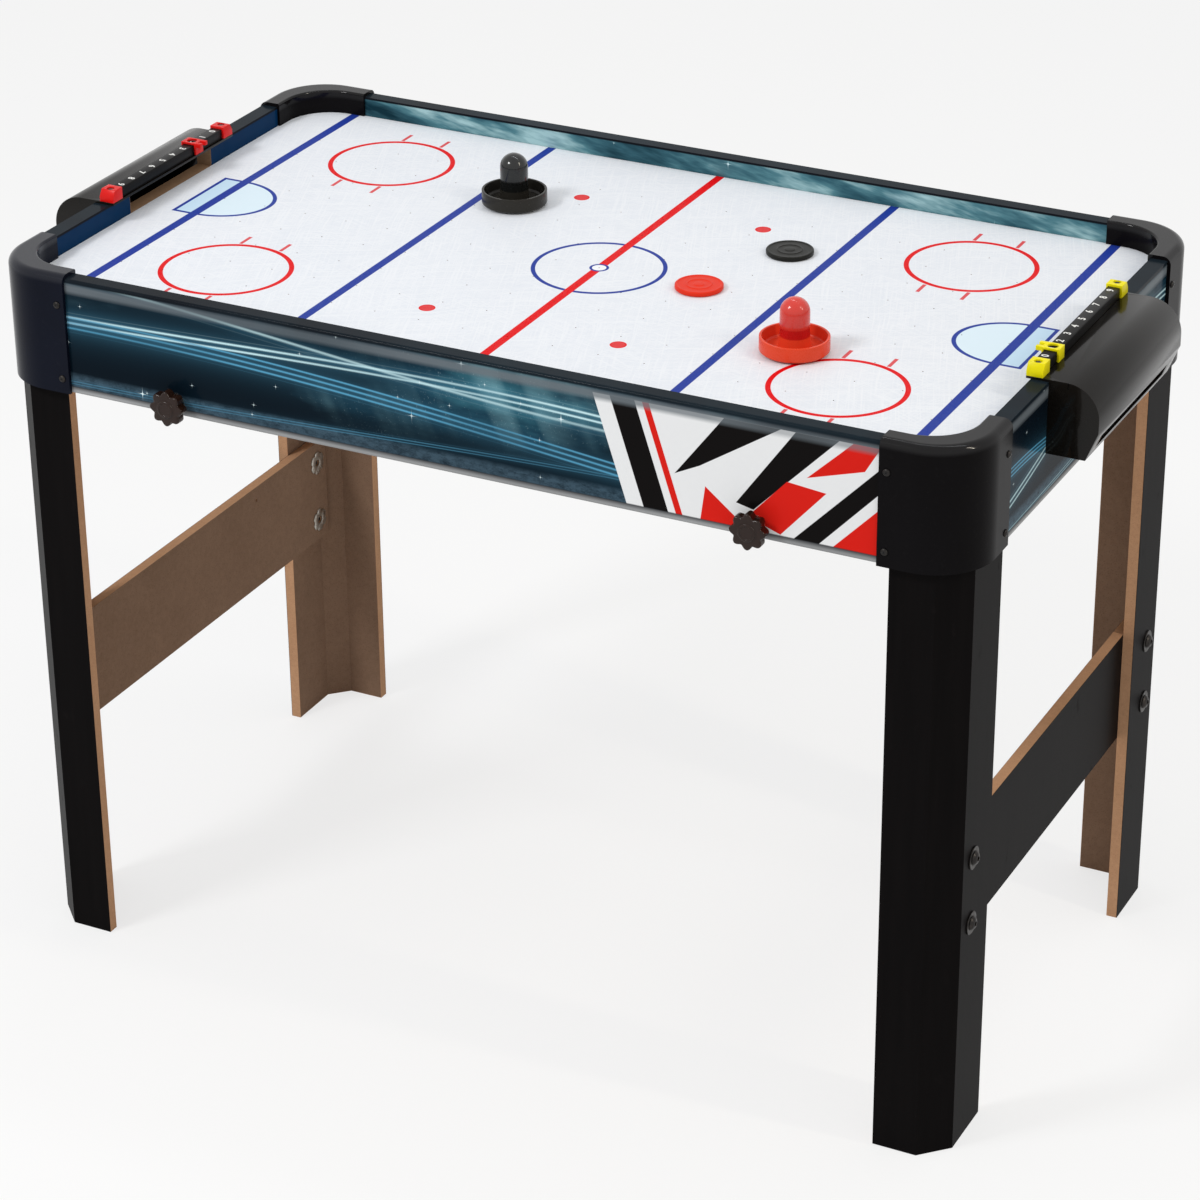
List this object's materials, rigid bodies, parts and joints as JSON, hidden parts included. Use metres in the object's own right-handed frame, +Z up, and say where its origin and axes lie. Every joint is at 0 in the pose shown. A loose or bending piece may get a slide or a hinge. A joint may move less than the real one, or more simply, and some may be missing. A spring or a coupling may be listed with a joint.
{
  "type": "air hockey table",
  "caption": "Free-standing table with a rimmed white rink fed by a fan, a goal box and score slider at each end, pushers, pucks and folded board legs.",
  "frame": {"origin": "on the floor, under the middle of the table", "axes": "+X towards the right-hand goal, +Y towards the back, +Z up"},
  "size_m": [1.174, 0.6626, 0.8113],
  "materials": {
    "white_board": "white melamine face",
    "printed_board": "gloss printed paper on board",
    "black_moulding": "glossy moulded plastic",
    "black_board": "satin black laminate, raw brown inside",
    "raw_board": "raw hardboard",
    "raw_wood": "raw wood",
    "black_steel": "black oxide",
    "zinc_steel": "zinc plated",
    "star_knob_plastic": "dark brown-black moulded plastic",
    "yellow_plastic": "moulded yellow",
    "red_plastic": "moulded red",
    "black_plastic": "moulded black",
    "rocker_plastic": "fine moulded grain",
    "felt": "pressed felt",
    "lead_rubber": "satin cable sheath"
  },
  "bodies": {
    "table": {"back_apron": "printed_board", "bearer_inserts": "zinc_steel", "cap_screws": "black_steel", "clip_screws": "black_steel", "corner_blocks": "raw_wood", "corner_cap_back_left": "black_moulding", "corner_cap_back_right": "black_moulding", "corner_cap_front_left": "black_moulding", "corner_cap_front_right": "black_moulding", "cross_bearers": "raw_wood", "cross_panel_left": "black_board", "cross_panel_right": "black_board", "fan_frame": "black_moulding", "fan_guard": "black_moulding", "fan_leads": "lead_rubber", "fan_motor": "zinc_steel", "fan_screws": "zinc_steel", "front_apron": "printed_board", "goal_hood_left": "black_moulding", "goal_hood_right": "black_moulding", "knob_washers": "zinc_steel", "lead_clip": "black_moulding", "left_end_apron": "printed_board", "leg_back_left": "black_board", "leg_back_right": "black_board", "leg_bolts": "zinc_steel", "leg_front_left": "black_board", "leg_front_right": "black_board", "panel_bolts": "black_steel", "panel_t_nuts": "zinc_steel", "panel_washers": "black_steel", "playfield": "white_board", "plenum_battens": "raw_wood", "plenum_floor": "raw_board", "plenum_ribs": "raw_wood", "power_inlet": "black_moulding", "right_end_apron": "printed_board", "score_bar_left": "black_moulding", "score_bar_right": "black_moulding", "score_clips_left": "red_plastic", "score_clips_right": "yellow_plastic", "switch_bezel": "black_moulding"},
    "score_marker_left": {"score_slider_left": "red_plastic"},
    "score_marker_right": {"score_slider_right": "yellow_plastic"},
    "pusher_left_hand": {"pusher_left": "black_plastic", "pusher_pad_left": "felt"},
    "pusher_right_hand": {"pusher_right": "red_plastic", "pusher_pad_right": "felt"},
    "black_puck": {"puck_black": "black_plastic"},
    "red_puck": {"puck_red": "red_plastic"},
    "knob_front_left": {"star_knob_front_left": "star_knob_plastic", "knob_stud_front_left": "zinc_steel"},
    "knob_front_right": {"star_knob_front_right": "star_knob_plastic", "knob_stud_front_right": "zinc_steel"},
    "knob_back_left": {"star_knob_back_left": "star_knob_plastic", "knob_stud_back_left": "zinc_steel"},
    "knob_back_right": {"star_knob_back_right": "star_knob_plastic", "knob_stud_back_right": "zinc_steel"},
    "impeller": {"fan_impeller": "black_moulding"},
    "rocker": {"switch_rocker": "rocker_plastic"}
  },
  "joints": [
    {"name": "score_left_slide", "type": "slide", "parent": "table", "child": "score_marker_left", "axis": [0, 1, 0], "range_m": [-0.14, 0.04]},
    {"name": "score_right_slide", "type": "slide", "parent": "table", "child": "score_marker_right", "axis": [0, 1, 0], "range_m": [-0.02, 0.16]},
    {"name": "pusher_left_glide", "type": "slide", "parent": "table", "child": "pusher_left_hand", "axis": [1, 0, 0], "range_m": [-0.317, 0.126]},
    {"name": "pusher_right_glide", "type": "slide", "parent": "table", "child": "pusher_right_hand", "axis": [1, 0, 0], "range_m": [-0.232, 0.211]},
    {"name": "black_puck_glide", "type": "slide", "parent": "table", "child": "black_puck", "axis": [1, 0, 0], "range_m": [-0.134, 0.33]},
    {"name": "red_puck_glide", "type": "slide", "parent": "table", "child": "red_puck", "axis": [1, 0, 0], "range_m": [-0.606, 0.374]},
    {"name": "knob_front_left_turn", "type": "hinge", "parent": "table", "child": "knob_front_left", "pos_m": [-0.32, -0.31, 0.665], "axis": [0, 1, 0], "continuous": true},
    {"name": "knob_front_right_turn", "type": "hinge", "parent": "table", "child": "knob_front_right", "pos_m": [0.32, -0.31, 0.665], "axis": [0, 1, 0], "continuous": true},
    {"name": "knob_back_left_turn", "type": "hinge", "parent": "table", "child": "knob_back_left", "pos_m": [-0.32, 0.31, 0.665], "axis": [0, 1, 0], "continuous": true},
    {"name": "knob_back_right_turn", "type": "hinge", "parent": "table", "child": "knob_back_right", "pos_m": [0.32, 0.31, 0.665], "axis": [0, 1, 0], "continuous": true},
    {"name": "impeller_spin", "type": "hinge", "parent": "table", "child": "impeller", "pos_m": [0, 0.12, 0.712], "axis": [0, 0, 1], "continuous": true},
    {"name": "rocker_tilt", "type": "hinge", "parent": "table", "child": "rocker", "pos_m": [0.02, 0.309, 0.697], "axis": [1, 0, 0], "range_deg": [0, 20]}
  ]
}
